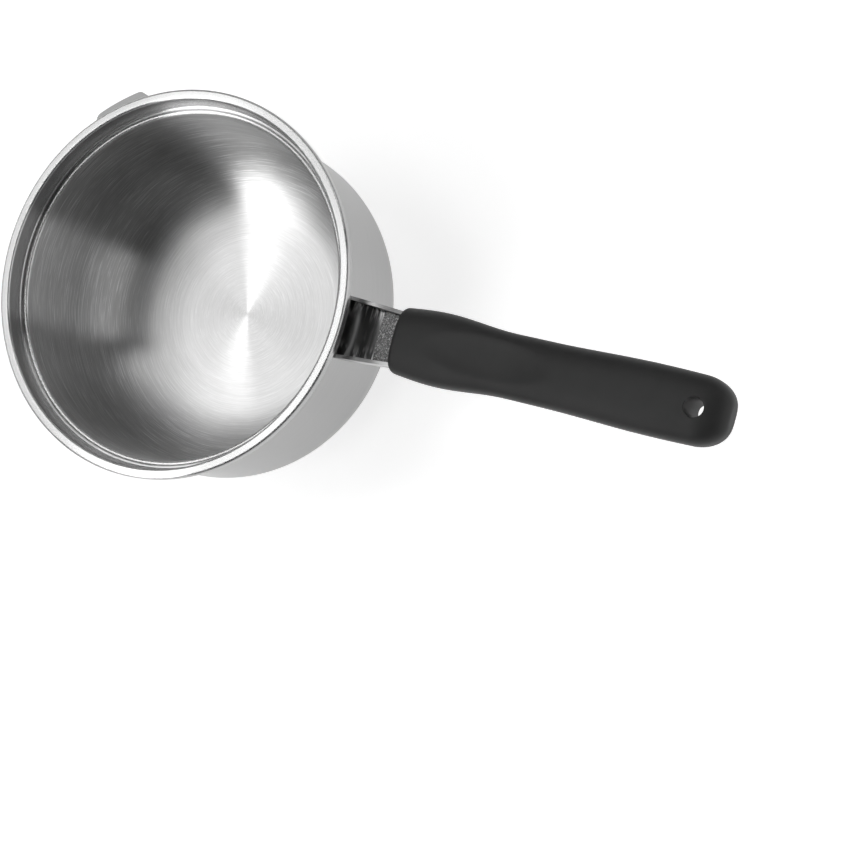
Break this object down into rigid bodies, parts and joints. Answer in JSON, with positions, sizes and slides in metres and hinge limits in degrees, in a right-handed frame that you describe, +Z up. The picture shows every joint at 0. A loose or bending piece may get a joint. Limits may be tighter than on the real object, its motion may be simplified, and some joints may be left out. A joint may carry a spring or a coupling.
{
  "type": "double-walled pot",
  "caption": "Small double-walled simmering pot of polished steel with a lid seat, a side pocket for the water that a hinged whistling flap closes, and a black moulded handle.",
  "frame": {"origin": "centre of the base's underside, where the pot stands", "axes": "+Z up along the pot's axis, +X along the handle, away from the pot"},
  "size_m": [0.3507, 0.178, 0.1005],
  "materials": {
    "bowl_steel": "fine concentric brushing",
    "shell_steel": "satin, polished at the edges",
    "fitting_steel": "turned, satin",
    "tang_steel": "matt, grainy",
    "disc_aluminium": "matt",
    "silicone": "matt",
    "grip_plastic": "matt, finely grained"
  },
  "bodies": {
    "pot": {"inner_pot": "bowl_steel", "outer_shell": "shell_steel", "base_disc": "disc_aluminium", "base_cap": "shell_steel", "filler_pocket": "shell_steel", "filler_mouth": "fitting_steel", "hinge_pin": "fitting_steel", "handle_bracket": "shell_steel", "handle_tang": "tang_steel", "grip": "grip_plastic", "handle_screw": "fitting_steel"},
    "flap": {"whistle_flap": "fitting_steel", "flap_gasket": "silicone", "whistle_front_disc": "fitting_steel", "whistle_back_disc": "fitting_steel"}
  },
  "joints": [
    {"name": "flap_hinge", "type": "hinge", "parent": "pot", "child": "flap", "pos_m": [-0.0612, 0.08122, 0.0681], "axis": [0.7986, 0.6018, 0], "range_deg": [0, 150]}
  ]
}
